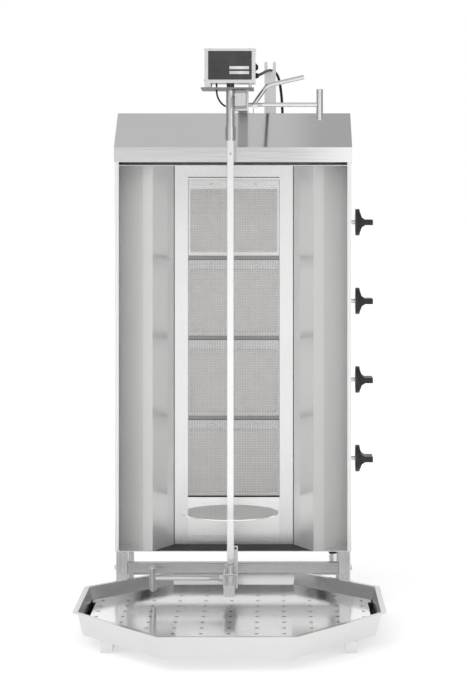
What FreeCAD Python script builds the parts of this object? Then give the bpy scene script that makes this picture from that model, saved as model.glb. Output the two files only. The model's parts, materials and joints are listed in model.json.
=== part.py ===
import FreeCAD, Part
import math
import os

# Gas doner kebab grill, built as an assembly of separate pieces, in millimetres.
# X runs to the right, Y to the rear and Z up. Sizes are worked out from the front face
# of the cabinet (Y = 0); every piece is then moved by one shift, so that the origin
# lies under the middle of the whole grill, on the surface that it stands on.

V = FreeCAD.Vector

# Stock and fits
sheet = 1.5
tube_wall = 2.0
moving_gap = 0.3
slide_gap = 0.5
shaft_fit = 0.05
bolt_radius = 3.0
bolt_head_radius = 5.5
bolt_head_height = 4.0

# Cabinet
cabinet_width = 540.0
cabinet_depth = 245.0
floor_z = 136.0
fascia_gap = 8.0
fascia_height = 34.0
hood_rise = 82.0
hood_slope_run = 117.0
hood_overhang = 2.0
hood_rear_lip = 22.0
front_flange = 9.0
half_width = cabinet_width / 2

# Heat wings, given by their folds in plan, for the right side
wing_outer_y = 116.0
wing_nose_inset = 62.0
wing_nose_outer_y = 31.0
wing_ridge_width = 24.0
wing_nose_inner_y = 5.0
wing_fold_run = 31.0
wing_fold_y = 57.0
burner_face_y = 86.0
surround_width = 32.5
frame_bar = 5.0
frame_slit = 1.8

# Burners
burner_count = 4
burner_rise = 114.6
burner_height = 176.0
burner_spacing = 10.0
burner_headroom = 32.4
burner_opening_width = 213.0
burner_depth = 46.0
burner_lip = 21.0
burner_sill = 9.0
burner_side = 5.0
burner_wall = 1.5
burner_gap = 0.4
ceramic_thickness = 13.0
gauze_thickness = 1.2
gauze_wire = 2.0
gauze_columns = 18
gauze_rows = 14
gauze_margin = 0.6
reflector_gap = 3.6

# Stand
runner_size = 25.0
runner_inset = 15.5
runner_front_y = -415.0
leg_size = 27.0
leg_front_y = 5.0
leg_rear_y = 206.0
crossbar_size = 24.0
crossbar_z = 85.0
rear_crossbar_z = 43.0

# Gas taps and their knobs
tap_y = 168.0
tap_drop = 11.6
tap_travel = 3.0
stem_radius = 5.0
valve_body_radius = 13.0
valve_body_length = 44.0
knob_diameter = 63.0
knob_standoff = 16.0
knob_skirt = 10.0
knob_flare = 12.0
knob_socket = 24.0
knob_grip_thickness = 12.8
knob_length = 40.0
manifold_inset = 38.0
manifold_y = 140.0
manifold_radius = 10.0
feed_pipe_radius = 4.0
injector_inset = 30.0
inlet_length = 49.0
inlet_radius = 8.8
inlet_barrel = 20.0
inlet_nut = 12.0
inlet_neck = 6.0

# Mains switch on the right side
switch_y = 40.0
switch_rise = 8.0
switch_height = 22.0
switch_depth = 30.0
switch_bezel = 1.6
switch_rim = 2.0
rocker_swing = 14.0
rocker_play = 1.3
rocker_pivot_radius = 1.5

# Skewer, its drive and its disk
skewer_x = -3.0
skewer_y = -130.0
skewer_size = 15.0
skewer_tip_rise = 9.0
skewer_taper = 22.0
skewer_engagement = 10.0
skewer_hole_drop = 39.0
collar_radius = 12.0
collar_height = 31.0
collar_lip = 7.0
socket_gap = 0.3
drive_tube_radius = 10.0
drive_tube_length = 81.5
drive_shaft_radius = 6.0
disk_radius = 106.0
disk_z = 245.0
disk_thickness = 2.0
disk_hub = 24.0
disk_hub_height = 14.0

# Upper arm and carriage
arm_width = 23.0
arm_height = 27.0
arm_x = 20.5
arm_pad = 2.0
arm_front_y = -262.0
arm_foot_length = 110.0
carriage_front_y = -112.0
carriage_length = 50.0
carriage_wall = 4.0
carriage_block_height = 9.0
plate_thickness = 3.7
plate_left_x = -67.0
plate_right_x = 49.0
plate_front_y = -177.0
housing_left_x = -59.4
housing_width = 112.0
housing_depth = 74.0
housing_height = 74.0
housing_foot_height = 9.8
housing_sheet = 1.5
lid_height = 2.0
lid_lap = 2.0
label_margin_x = 8.0
label_margin_z = 7.4
label_gap = 1.4
label_corner = 2.0
label_thickness = 0.8
bush_radius = 8.5
foot_inset = 12.0
gearbox_length = 80.0
gearbox_width = 58.0
gearbox_height = 34.0
motor_radius = 26.0

# Clamp screws with their tee bars, and the locking lever
clamp_rod_radius = 5.0
tee_radius = 7.5
tee_length = 69.5
nut_across_flats = 13.6
upper_clamp_y = -100.0
upper_clamp_rise = 9.0
upper_nut_x = 46.0
upper_nut_length = 11.0
upper_rod_end_x = 189.0
thread_pitch = 1.8
lever_radius = 5.0
lever_wall = 1.2
lever_bend_out = 27.0
lever_bend_up = 43.0
lever_bend_radius = 22.0
lever_reach = 109.0
lever_rise = 62.0
lever_open_length = 40.0
lever_pin_length = 23.0
lower_clamp_y = -117.0
lower_clamp_rise = 13.0
lower_clamp_end_x = -170.0
lower_tee_angle = 33.0
lower_nut_length = 10.0

# Lower arm and carriage
lower_arm_size = 24.0
lower_arm_front_y = -260.0
lower_sleeve_front_y = -146.0
lower_sleeve_length = 60.0
lower_sleeve_wall = 3.5
cup_radius = 13.4
cup_height = 18.0
cup_lip = 3.0
cup_mouth_radius = 9.5
upright_height = 55.5
upright_width = 11.0
upright_thickness = 5.0

# Drip tray and its perforated insert, given at the top of the tray's wall
tray_height = 50.0
tray_flare = 12.0
tray_rim = 10.0
tray_half_width = 320.0
tray_front_y = -592.0
tray_front_half = 134.0
tray_side_front_y = -366.0
tray_side_rear_y = -98.0
tray_rear_y = 80.0
tray_rear_half = 142.0
insert_height = 20.0
insert_gap = 2.5
insert_hole_radius = 4.0
insert_hole_x = 57.5
insert_hole_y = 55.0
insert_first_row_y = -444.0
insert_row_count = 10
insert_hole_edge = 16.0
finger_depth = 8.0
finger_front_y = -270.0
finger_rear_y = -130.0

# Rear cable fork, glands and cables
fork_left_x = 70.5
fork_width = 27.7
fork_prong = 7.4
fork_thickness = 4.0
fork_drop = 1.0
fork_notch_depth = 25.0
fork_overlap = 161.0
gland_x = 114.0
gland_drop = 56.0
gland_shank = 7.0
gland_body = 11.0
gland_mouth_y = 285.0
gland_mouth_rise = 19.0
gland_mouth_radius = 8.0
mains_gland_inset = 90.0
mains_gland_rise = 124.0
mains_bore = 4.5
cable_radius = 3.25
lead_radius = 2.0

# Values worked out from the sizes above
inner_half = half_width - sheet
wing_nose_outer_x = half_width - wing_nose_inset
wing_nose_inner_x = wing_nose_outer_x - wing_ridge_width
wing_fold_x = wing_nose_inner_x - wing_fold_run
surround_outer_x = burner_opening_width / 2 + surround_width
runner_x = half_width - runner_inset
knob_base_x = half_width + knob_standoff
knob_end_x = knob_base_x + knob_length
manifold_x = half_width - manifold_inset
mains_gland_x = half_width - mains_gland_inset
burner_bottom_z = floor_z + burner_rise
burner_pitch = burner_height + burner_spacing
burner_top_z = burner_bottom_z + burner_pitch * (burner_count - 1) + burner_height
reflector_top_z = burner_bottom_z - reflector_gap
ceiling_z = burner_top_z + burner_headroom
fascia_bottom_z = ceiling_z + fascia_gap
fascia_top_z = fascia_bottom_z + fascia_height
hood_top_z = fascia_top_z + hood_rise
switch_z = fascia_bottom_z + switch_rise
tap_z = [burner_top_z - burner_pitch * i - burner_height / 2 - tap_drop for i in range(burner_count)][::-1]
rear_reach = gland_mouth_y + gland_body
front_reach = tray_front_y - tray_rim
shift_y = -(rear_reach + front_reach) / 2
tray_bottom_z = runner_size + moving_gap
tray_top_z = tray_bottom_z + tray_height
arm_bottom_z = hood_top_z + arm_pad
arm_top_z = arm_bottom_z + arm_height
upper_clamp_z = arm_bottom_z + upper_clamp_rise
upper_nut_end_x = upper_nut_x + upper_nut_length
plate_bottom_z = arm_top_z + slide_gap + carriage_wall + carriage_block_height
plate_top_z = plate_bottom_z + plate_thickness
housing_bottom_z = plate_top_z + housing_foot_height
housing_top_z = housing_bottom_z + housing_height
housing_right_x = housing_left_x + housing_width
housing_front_y = skewer_y - housing_depth / 2
lower_sleeve_half = lower_arm_size / 2 + slide_gap + lower_sleeve_wall
lower_sleeve_top_z = crossbar_z + lower_arm_size + slide_gap + lower_sleeve_wall
lower_clamp_z = crossbar_z + lower_clamp_rise
upright_top_z = lower_sleeve_top_z + upright_height
skewer_tip_z = lower_sleeve_top_z + skewer_tip_rise
collar_top_z = plate_bottom_z - drive_tube_length
collar_bottom_z = collar_top_z - collar_height
skewer_top_z = collar_bottom_z + skewer_engagement
skewer_hole_z = skewer_top_z - skewer_hole_drop
fork_top_z = housing_top_z - fork_drop
fork_notch_z = fork_top_z - fork_notch_depth
fork_bottom_z = hood_top_z - fork_overlap
gland_z = hood_top_z - gland_drop
gland_mouth_z = gland_z + gland_mouth_rise
mains_gland_z = floor_z + mains_gland_rise
opening_half = burner_opening_width / 2


def box(x0, x1, y0, y1, z0, z1):
    return Part.makeBox(x1 - x0, y1 - y0, z1 - z0, V(x0, y0, z0))


def face_of(points):
    return Part.Face(Part.makePolygon(points + [points[0]]))


def prism_x(points, x0, x1):
    """A solid whose outline in the YZ plane is given, from x0 to x1."""
    return face_of([V(x0, y, z) for y, z in points]).extrude(V(x1 - x0, 0, 0))


def prism_y(points, y0, y1):
    """A solid whose outline in the XZ plane is given, from y0 to y1."""
    return face_of([V(x, y0, z) for x, z in points]).extrude(V(0, y1 - y0, 0))


def prism_z(points, z0, z1):
    """A solid whose outline in the XY plane is given, from z0 to z1."""
    return face_of([V(x, y, z0) for x, y in points]).extrude(V(0, 0, z1 - z0))


def rod_x(x0, x1, y, z, radius):
    return Part.makeCylinder(radius, x1 - x0, V(x0, y, z), V(1, 0, 0))


def rod_y(y0, y1, x, z, radius):
    return Part.makeCylinder(radius, y1 - y0, V(x, y0, z), V(0, 1, 0))


def rod_z(z0, z1, x, y, radius):
    return Part.makeCylinder(radius, z1 - z0, V(x, y, z0), V(0, 0, 1))


def fused(pieces):
    return pieces[0].multiFuse(pieces[1:]).removeSplitter()


def group(pieces):
    return Part.makeCompound(pieces)


def offset_line(points, distance, closed=False):
    """The line moved to its left by a distance, with mitred corners."""
    count = len(points)
    moved = []
    for i, (x, y) in enumerate(points):
        before = points[i - 1] if closed or i > 0 else None
        after = points[(i + 1) % count] if closed or i < count - 1 else None
        normals = []
        for start, end in ((before, (x, y)), ((x, y), after)):
            if start is None or end is None:
                continue
            dx, dy = end[0] - start[0], end[1] - start[1]
            size = math.hypot(dx, dy)
            normals.append((-dy / size, dx / size))
        nx = sum(n[0] for n in normals) / len(normals)
        ny = sum(n[1] for n in normals) / len(normals)
        scale = distance / (nx * nx + ny * ny)
        moved.append((x + nx * scale, y + ny * scale))
    return moved


def strip(points, thickness):
    """The outline of a folded sheet whose one face follows the given line."""
    return points + offset_line(points, thickness)[::-1]


def mirrored(points):
    return [(-x, y) for x, y in points]


def round_tube(solid, direction, radius):
    """Round the long edges of a square tube."""
    edges = []
    for edge in solid.Edges:
        line = edge.Vertexes[-1].Point - edge.Vertexes[0].Point
        if line.Length > 0 and abs(line.normalize().dot(direction)) > 0.99:
            edges.append(edge)
    return solid.makeFillet(radius, edges)


def square_tube(x0, x1, y0, y1, z0, z1, direction, ends_open=True):
    """A hollow square tube with rounded long edges."""
    outer = round_tube(box(x0, x1, y0, y1, z0, z1), direction, tube_wall)
    w = tube_wall
    along = (direction.x, direction.y, direction.z)
    first = -1.0 if ends_open else w
    inset = [first if a else w for a in along]
    inner = box(x0 + inset[0], x1 - inset[0], y0 + inset[1], y1 - inset[1],
                z0 + inset[2], z1 - inset[2])
    return outer.cut(inner)


def hexagon_x(x0, x1, y, z, across_flats):
    """A six-sided nut along X."""
    reach = across_flats / math.sqrt(3)
    corners = [math.radians(60 * i) for i in range(6)]
    points = [(y + reach * math.cos(a), z + reach * math.sin(a)) for a in corners]
    return prism_x(points, x0, x1)


def hexagon_z(z0, z1, x, y, across_flats):
    """A six-sided nut along Z."""
    reach = across_flats / math.sqrt(3)
    corners = [math.radians(60 * i) for i in range(6)]
    points = [(x + reach * math.cos(a), y + reach * math.sin(a)) for a in corners]
    return prism_z(points, z0, z1)


def tapped(x0, x1, y, z, radius, pitch):
    """A threaded stretch of rod along X, as rings of the thread's crests and roots."""
    root = radius - pitch / 2
    count = int((x1 - x0) / pitch)
    points = [(x0, 0.0), (x0, root)]
    for i in range(count):
        points.append((x0 + (i + 0.5) * pitch, radius))
        points.append((x0 + (i + 1) * pitch, root))
    if points[-1][0] < x1 - 1e-6:
        points.append((x1, root))
    points.append((x1, 0.0))
    outline = face_of([V(px, y, z + r) for px, r in points])
    return outline.revolve(V(x0, y, z), V(1, 0, 0), 360)


# Stand

def make_runners():
    tubes = []
    for side in (-1, 1):
        x0 = side * runner_x - runner_size / 2
        tubes.append(square_tube(x0, x0 + runner_size, runner_front_y, cabinet_depth,
                                 0, runner_size, V(0, 1, 0), ends_open=False))
    return group(tubes)


def make_legs():
    legs = []
    for side in (-1, 1):
        for y0 in (leg_front_y, leg_rear_y):
            x0 = side * runner_x - leg_size / 2
            legs.append(square_tube(x0, x0 + leg_size, y0, y0 + leg_size,
                                    runner_size, floor_z, V(0, 0, 1)))
    return group(legs)


def make_crossbars():
    reach = runner_x - leg_size / 2
    bars = []
    for y0, z0 in ((leg_front_y, crossbar_z), (leg_rear_y, rear_crossbar_z)):
        bars.append(square_tube(-reach, reach, y0, y0 + crossbar_size,
                                z0, z0 + crossbar_size, V(1, 0, 0)))
    return group(bars)


def make_frame_bolts():
    bolts = []
    outer = runner_x + leg_size / 2
    for side in (-1, 1):
        for y0, z0 in ((leg_front_y, crossbar_z), (leg_rear_y, rear_crossbar_z)):
            y = y0 + crossbar_size / 2
            z = z0 + crossbar_size / 2
            x0 = side * outer if side > 0 else -outer - bolt_head_height
            bolts.append(hexagon_x(x0, x0 + bolt_head_height, y, z, 2 * bolt_head_radius))
    for y in arm_bolt_places():
        bolts.append(hexagon_z(arm_top_z, arm_top_z + bolt_head_height, arm_x, y,
                               2 * bolt_head_radius))
    return group(bolts)


def arm_bolt_places():
    rear = cabinet_depth - sheet
    return (rear - arm_foot_length * 0.8, rear - arm_foot_length * 0.2)


# Cabinet

def make_floor():
    return box(-inner_half, inner_half, 0, cabinet_depth - sheet, floor_z, floor_z + sheet)


def hood_outline():
    """The hood's outer line in the YZ plane, from the fascia to the rear lip."""
    return [(0, fascia_bottom_z), (0, fascia_top_z), (hood_slope_run, hood_top_z),
            (cabinet_depth + sheet, hood_top_z), (cabinet_depth + sheet, hood_top_z - hood_rear_lip)]


def make_hood():
    reach = half_width + hood_overhang
    sheet_line = strip(hood_outline(), -sheet)
    lip = box(-inner_half + front_flange, inner_half - front_flange, 0, front_flange,
              fascia_bottom_z, fascia_bottom_z + sheet)
    hood = fused([prism_x(sheet_line, -reach, reach), lip])
    for y in arm_bolt_places():
        hood = hood.cut(rod_z(hood_top_z - 2 * sheet, hood_top_z + 1, arm_x, y, bolt_radius))
    return hood


def side_outline():
    """A side panel's outline, just under the hood."""
    under_hood = offset_line(hood_outline(), -sheet)
    front = sheet
    return [(front, floor_z), (cabinet_depth - sheet, floor_z),
            (cabinet_depth - sheet, hood_top_z - sheet), (under_hood[2][0], hood_top_z - sheet),
            (front, under_hood[1][1])]


def make_side(side):
    """A side panel with its turned-in front flange and, on the right, its holes."""
    x0 = inner_half if side > 0 else -half_width
    panel = prism_x(side_outline(), x0, x0 + sheet)
    edge = half_width if side > 0 else -half_width + front_flange
    flange = box(edge - front_flange, edge, 0, sheet, floor_z + sheet, fascia_bottom_z)
    panel = fused([panel, flange])
    if side > 0:
        for z in tap_z:
            panel = panel.cut(rod_x(x0 - 1, x0 + sheet + 1, tap_y, z, stem_radius + 1))
        half_h = switch_height / 2 - switch_rim
        half_d = switch_depth / 2 - switch_rim
        panel = panel.cut(box(x0 - 1, x0 + sheet + 1, switch_y - half_d, switch_y + half_d,
                              switch_z - half_h, switch_z + half_h))
    return panel


def make_back():
    panel = box(-half_width, half_width, cabinet_depth - sheet, cabinet_depth,
                floor_z, hood_top_z - sheet)
    for x, z in gland_places():
        panel = panel.cut(rod_y(cabinet_depth - 10, cabinet_depth + 10, x, z, gland_shank))
    return panel


def make_ceiling():
    return box(-inner_half, inner_half, sheet, cabinet_depth - sheet, ceiling_z, ceiling_z + sheet)


def wing_line():
    """The right wing's front face in plan, from the side panel to the burners."""
    return [(inner_half, wing_outer_y), (wing_nose_outer_x, wing_nose_outer_y),
            (wing_nose_inner_x, wing_nose_inner_y), (wing_fold_x, wing_fold_y),
            (surround_outer_x, burner_face_y), (surround_outer_x, burner_face_y + front_flange)]


def make_wing(side):
    outline = strip(wing_line(), -sheet)
    if side < 0:
        outline = mirrored(outline)
    return prism_z(outline, floor_z + sheet, ceiling_z)


def make_surround():
    """The flat frame round the burners, with side returns and a strip behind each gap."""
    reach = surround_outer_x - sheet
    face = box(-reach, reach, burner_face_y, burner_face_y + sheet, floor_z + sheet, ceiling_z)
    window = box(-opening_half, opening_half, burner_face_y - 1, burner_face_y + sheet + 1,
                 floor_z, burner_top_z + burner_gap)
    slit_z = burner_top_z + burner_gap + frame_bar
    slit = box(-opening_half, opening_half, burner_face_y - 1, burner_face_y + sheet + 1,
               slit_z, slit_z + frame_slit)
    pieces = [face.cut(window).cut(slit)]
    rear = burner_face_y + front_flange
    for top in burner_tops()[1:]:
        pieces.append(box(-opening_half, opening_half, rear - sheet, rear,
                          top + burner_gap, top + burner_spacing - burner_gap))
    for side in (-1, 1):
        x0 = opening_half if side > 0 else -opening_half - sheet
        pieces.append(box(x0, x0 + sheet, burner_face_y, rear,
                          floor_z + sheet, burner_top_z + burner_gap))
    return fused(pieces)


def make_reflector():
    """The plain panel under the lowest burner, with a rolled top edge."""
    reach = opening_half - burner_gap / 2
    panel = box(-reach, reach, burner_face_y, burner_face_y + sheet, floor_z + sheet, reflector_top_z)
    edge = box(-reach, reach, burner_face_y, burner_face_y + front_flange,
               reflector_top_z - sheet, reflector_top_z)
    return fused([panel, edge])


# Burners

def burner_tops():
    return [burner_top_z - burner_pitch * i for i in range(burner_count)]


def burner_window(top):
    """The window's left, right, bottom and top."""
    reach = opening_half - burner_gap - burner_side
    return -reach, reach, top - burner_height + burner_sill, top - burner_lip


def make_burner_housing(top):
    """A pressed box, open behind its lip, that holds the ceramic plates and the gauze."""
    reach = opening_half - burner_gap
    y0 = burner_face_y + burner_gap + gauze_thickness
    y1 = burner_face_y + burner_depth
    w = burner_wall
    shell = box(-reach, reach, y0, y1, top - burner_height, top)
    hollow = box(-reach + w, reach - w, y0 + w, y1 - w, top - burner_height + w, top - w)
    x0, x1, z0, z1 = burner_window(top)
    window = box(x0, x1, y0 - 1, y0 + w + 1, z0, z1)
    shell = shell.cut(hollow).cut(window)
    inlet = rod_x(reach - w - 1, reach + 1, injector_y(), injector_z(top), feed_pipe_radius + 1)
    return shell.cut(inlet)


def injector_y():
    return burner_face_y + burner_depth - injector_inset / 2


def injector_z(top):
    return top - burner_height / 2


def make_gauze(top):
    """The wire gauze over the whole front of the housing, as one holed sheet."""
    x1 = opening_half - burner_gap - gauze_margin
    x0 = -x1
    z0 = top - burner_height + gauze_margin
    z1 = top - gauze_margin
    y = burner_face_y + burner_gap
    wires = [Part.makePolygon([V(x0, y, z0), V(x1, y, z0), V(x1, y, z1), V(x0, y, z1), V(x0, y, z0)])]
    step_x = (x1 - x0) / gauze_columns
    step_z = (z1 - z0) / gauze_rows
    half = gauze_wire / 2
    for i in range(gauze_columns):
        for k in range(gauze_rows):
            a, b = x0 + i * step_x + half, x0 + (i + 1) * step_x - half
            c, d = z0 + k * step_z + half, z0 + (k + 1) * step_z - half
            wires.append(Part.makePolygon([V(a, y, c), V(b, y, c), V(b, y, d), V(a, y, d), V(a, y, c)]))
    face = Part.makeFace(wires, "Part::FaceMakerBullseye")
    return face.extrude(V(0, gauze_thickness, 0))


def make_ceramics():
    """Three ceramic plates side by side in each burner."""
    plates = []
    y0 = burner_face_y + burner_gap + gauze_thickness + burner_wall
    for top in burner_tops():
        x0, x1, z0, z1 = burner_window(top)
        edge = burner_side - burner_wall - slide_gap
        width = (x1 - x0 + 2 * edge) / 3
        for i in range(3):
            left = x0 - edge + i * width
            plates.append(box(left, left + width - burner_gap * (i < 2), y0, y0 + ceramic_thickness,
                              z0 - edge, z1 + edge))
    return group(plates)


# Routes of pipes and cables: straight runs joined by tangent arcs

def route_edges(points, bend=None):
    """Edges along the points, with one arc at each corner; also the arcs' radii."""
    edges = []
    radii = []
    start = points[0]
    for before, corner, after in zip(points, points[1:], points[2:]):
        back = before - corner
        ahead = after - corner
        turn = math.pi - back.getAngle(ahead)
        shorter = min(back.Length, ahead.Length)
        radius = bend or 0.45 * shorter / math.tan(turn / 2)
        reach = radius * math.tan(turn / 2)
        back = back.normalize()
        ahead = ahead.normalize()
        middle = (back + ahead).normalize() * (radius / math.cos(turn / 2) - radius)
        first = corner + back * reach
        last = corner + ahead * reach
        edges.append(Part.LineSegment(start, first).toShape())
        edges.append(Part.Arc(first, corner + middle, last).toShape())
        radii.append(radius)
        start = last
    edges.append(Part.LineSegment(start, points[-1]).toShape())
    return edges, radii


def tube_along(points, radius, bend=None, name=""):
    edges, radii = route_edges(points, bend)
    path = Part.Wire(edges)
    ring = Part.Wire([Part.makeCircle(radius, points[0], points[1] - points[0])])
    tube = path.makePipeShell([ring], True, False)
    if name:
        ratio = tube.Volume / (math.pi * radius ** 2 * path.Length)
        print(name, "length", round(path.Length, 1), "volume ratio", round(ratio, 4),
              "radii", [round(r, 1) for r in radii])
    return tube


# Gas parts

def make_manifold():
    """The upright gas pipe inside the right side, closed at its top."""
    top = max(tap_z) + valve_body_length
    pipe = rod_z(floor_z + sheet, top, manifold_x, manifold_y, manifold_radius)
    bore = rod_z(floor_z, top - tube_wall, manifold_x, manifold_y, manifold_radius - tube_wall)
    return pipe.cut(bore)


def make_valve_bodies():
    """One tap body for each burner, with its branch to the manifold."""
    bodies = []
    manifold = rod_z(floor_z, max(tap_z) + 2 * valve_body_length, manifold_x, manifold_y, manifold_radius)
    x0 = inner_half - valve_body_length
    for z in tap_z:
        barrel = rod_x(x0, inner_half, tap_y, z, valve_body_radius)
        branch = rod_y(manifold_y, tap_y, manifold_x, z, valve_body_radius / 2)
        bore = rod_x(stem_inner_x() - tap_travel - moving_gap, inner_half + 1, tap_y, z,
                     stem_radius + shaft_fit)
        bodies.append(fused([barrel, branch]).cut(bore).cut(manifold))
    return group(bodies)


def stem_inner_x():
    return inner_half - valve_body_length + valve_body_radius


def make_gas_pipes():
    """The bent feed pipe from each tap to its burner's injector."""
    pipes = []
    for z, top in zip(tap_z, reversed(burner_tops())):
        start = V(inner_half - valve_body_length, tap_y, z)
        end = V(opening_half - burner_gap, injector_y(), injector_z(top))
        run = injector_inset
        first = start - V(run, 0, 0)
        last = end + V(run, 0, 0)
        pipes.append(tube_along([start, first, last, end], feed_pipe_radius, injector_inset / 2))
    return group(pipes)


def make_gas_inlet():
    """The hose nozzle under the floor, with its nut and its bore."""
    end = floor_z - inlet_length
    neck = rod_z(end, floor_z + sheet, manifold_x, manifold_y, inlet_neck)
    nut = hexagon_z(floor_z - inlet_nut, floor_z, manifold_x, manifold_y, 2.5 * inlet_radius)
    barrel = rod_z(end, end + inlet_barrel, manifold_x, manifold_y, inlet_radius)
    bore = rod_z(end - 1, floor_z + 2 * sheet, manifold_x, manifold_y, inlet_neck / 2)
    return fused([neck, nut, barrel]).cut(bore)


def make_stem(z):
    """A tap's spindle, which the knob pushes in and turns."""
    return rod_x(stem_inner_x(), knob_base_x + knob_socket, tap_y, z, stem_radius)


def make_knob(z):
    """A round skirt that runs up into a flat grip."""
    half = knob_grip_thickness / 2
    radius = knob_diameter / 2
    body_x = knob_base_x + knob_skirt
    skirt = rod_x(knob_base_x, body_x, tap_y, z, radius)
    rim = [e for e in skirt.Edges if e.Closed and abs(e.CenterOfMass.x - body_x) < 0.1]
    skirt = skirt.makeFillet(knob_skirt * 0.25, rim)
    flare = knob_flare
    grip = [(body_x - 1, z - radius * 0.8), (body_x, z - radius * 0.8),
            (body_x + flare * 0.35, z - half - flare * 0.45), (body_x + flare, z - half),
            (knob_end_x, z - half), (knob_end_x, z + half), (body_x + flare, z + half),
            (body_x + flare * 0.35, z + half + flare * 0.45), (body_x, z + radius * 0.8),
            (body_x - 1, z + radius * 0.8)]
    blade = prism_y(grip, tap_y - radius, tap_y + radius)
    blade = blade.common(rod_x(body_x - 1, knob_end_x, tap_y, z, radius * 0.9))
    socket = rod_x(knob_base_x - 1, knob_base_x + knob_socket + moving_gap, tap_y, z,
                   stem_radius + shaft_fit)
    return fused([skirt, blade]).cut(socket)


# Mains switch

def switch_window():
    """Half the height and half the depth of the hole in the side panel."""
    return switch_height / 2 - switch_rim, switch_depth / 2 - switch_rim


def make_switch_frame():
    half_h, half_d = switch_window()
    wall = switch_rim / 2
    bezel = box(half_width, half_width + switch_bezel, switch_y - switch_depth / 2,
                switch_y + switch_depth / 2, switch_z - switch_height / 2, switch_z + switch_height / 2)
    x0 = inner_half - switch_height
    body = box(x0, half_width, switch_y - half_d, switch_y + half_d, switch_z - half_h, switch_z + half_h)
    well = box(x0 + wall, half_width + switch_bezel + 1, switch_y - half_d + wall,
               switch_y + half_d - wall, switch_z - half_h + wall, switch_z + half_h - wall)
    pivot = rod_y(switch_y - half_d + wall * 0.1, switch_y + half_d - wall * 0.1, half_width - wall, switch_z,
                  rocker_pivot_radius + shaft_fit)
    return fused([bezel, body]).cut(well).cut(pivot)


def make_switch_rocker():
    """A rocker with two faces at a blunt angle; the upper one stands out at rest."""
    half_h, half_d = switch_window()
    reach = half_h - switch_rim / 2 - rocker_play
    x = half_width - switch_rim / 2
    face = switch_bezel + switch_rim / 2 - moving_gap
    rise = reach * math.tan(math.radians(rocker_swing))
    outline = [(x - switch_rim * 2, switch_z - reach * 0.7), (x + face, switch_z - reach),
               (x + face, switch_z), (x + face + rise, switch_z + reach),
               (x - switch_rim * 2, switch_z + reach * 0.7)]
    y = half_d - switch_rim / 2 - moving_gap
    pin = half_d - switch_rim * 0.2
    pivot = rod_y(switch_y - pin, switch_y + pin, x, switch_z, rocker_pivot_radius)
    return fused([prism_y(outline, switch_y - y, switch_y + y), pivot])


# Cable fork and glands at the back

def gland_places():
    return [(gland_x, gland_z), (mains_gland_x, mains_gland_z)]


def make_cable_fork():
    """The upright plate behind the cabinet, forked at its top to hold the motor's cable."""
    y0 = cabinet_depth + sheet
    y1 = y0 + fork_thickness
    x1 = fork_left_x + fork_width
    notch_half = fork_width / 2 - fork_prong
    mid = fork_left_x + fork_width / 2
    plate = box(fork_left_x, x1, y0, y1, fork_bottom_z, fork_top_z - fork_prong / 2)
    tips = [rod_y(y0, y1, x, fork_top_z - fork_prong / 2, fork_prong / 2)
            for x in (fork_left_x + fork_prong / 2, x1 - fork_prong / 2)]
    notch = fused([box(mid - notch_half, mid + notch_half, y0 - 1, y1 + 1,
                       fork_notch_z + notch_half, fork_top_z + 1),
                   rod_y(y0 - 1, y1 + 1, mid, fork_notch_z + notch_half, notch_half)])
    bosses = [rod_y(cabinet_depth, y0, mid, z, fork_prong) for z in fork_bolt_places()]
    return fused([plate] + tips + bosses).cut(notch)


def fork_bolt_places():
    return (fork_bottom_z + fork_width / 2, hood_top_z - hood_rear_lip - fork_width)


def make_fork_bolts():
    mid = fork_left_x + fork_width / 2
    y0 = cabinet_depth + sheet + fork_thickness
    return [rod_y(y0, y0 + bolt_head_height, mid, z, bolt_head_radius) for z in fork_bolt_places()]


def make_cable_glands():
    """An elbow for the motor's cable and a straight gland for the mains lead."""
    x, z = gland_places()[0]
    shank = rod_y(cabinet_depth - 2 * sheet, cabinet_depth, x, z, gland_shank)
    block = box(x - gland_body, x + gland_body, cabinet_depth, gland_mouth_y + gland_body,
                z - gland_body, z + gland_body)
    mouth = rod_z(z + gland_body, gland_mouth_z, x, gland_mouth_y, gland_mouth_radius)
    elbow = fused([shank, block, mouth])
    x, z = gland_places()[1]
    shank = rod_y(cabinet_depth - 2 * sheet, cabinet_depth, x, z, gland_shank)
    nut = prism_y([(x + gland_body * math.cos(math.radians(60 * i)),
                    z + gland_body * math.sin(math.radians(60 * i))) for i in range(6)],
                  cabinet_depth, cabinet_depth + gland_body / 2)
    nose = rod_y(cabinet_depth + gland_body / 2, cabinet_depth + gland_body * 1.5, x, z, gland_shank)
    bore = rod_y(cabinet_depth - 3 * sheet, cabinet_depth + 2 * gland_body, x, z, mains_bore)
    return group([elbow, fused([shank, nut, nose]).cut(bore)])


# Upper arm and its carriage

def arm_sides():
    return arm_x - arm_width / 2, arm_x + arm_width / 2


def make_upper_arm():
    """A square tube over the hood, closed in front, welded to a foot plate."""
    x0, x1 = arm_sides()
    rear = cabinet_depth - sheet
    tube = square_tube(x0, x1, arm_front_y, rear, arm_bottom_z, arm_top_z, V(0, 1, 0), ends_open=False)
    foot = box(x0 - arm_pad * 3, x1 + arm_pad * 3, rear - arm_foot_length, rear, hood_top_z, arm_bottom_z)
    holes = [rod_z(hood_top_z - 1, arm_top_z + 1, arm_x, y, bolt_radius) for y in arm_bolt_places()]
    return group([solid.cut(holes) for solid in (tube, foot)])


def sleeve_box(wall):
    """The inside of the upper sleeve, or its outside when a wall is given."""
    x0, x1 = arm_sides()
    reach = slide_gap + wall
    return x0 - reach, x1 + reach, arm_bottom_z - reach, arm_top_z + reach


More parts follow.
